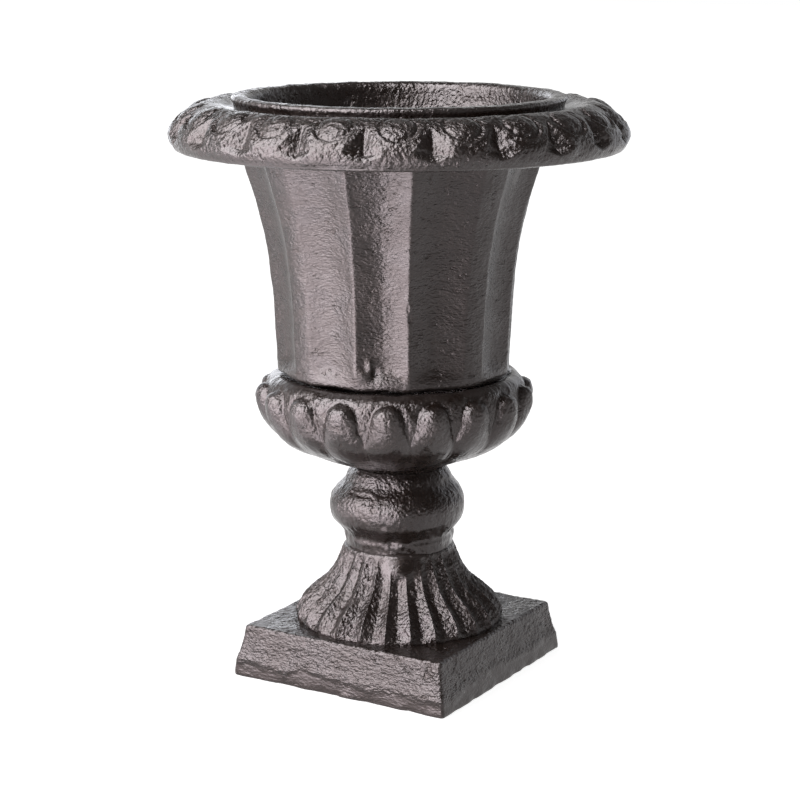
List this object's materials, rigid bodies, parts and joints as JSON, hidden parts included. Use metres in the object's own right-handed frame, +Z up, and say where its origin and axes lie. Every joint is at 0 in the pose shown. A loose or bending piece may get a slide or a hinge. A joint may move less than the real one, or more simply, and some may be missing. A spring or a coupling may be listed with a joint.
{
  "type": "urn planter",
  "caption": "Small cast-iron urn planter: fluted bowl with an egg-and-dart rim, bolted to a turned stem on a fluted foot and a square plinth.",
  "frame": {"origin": "middle of the plinth's underside, on the centre line of the bolt", "axes": "+Z up through the bowl's mouth; the plinth's sides run along X and Y"},
  "size_m": [0.1856, 0.1856, 0.24],
  "materials": {
    "bowl": "dark brown-black semi-gloss coat over grainy sand casting",
    "pedestal": "dark brown-black semi-gloss coat over grainy sand casting",
    "bolt": "zinc plated",
    "washer_bowl": "zinc plated",
    "washer_pedestal": "zinc plated",
    "nut": "zinc plated"
  },
  "bodies": {
    "urn": {"bowl": "bowl", "pedestal": "pedestal", "bolt": "bolt", "washer_bowl": "washer_bowl", "washer_pedestal": "washer_pedestal", "nut": "nut"}
  },
  "joints": []
}
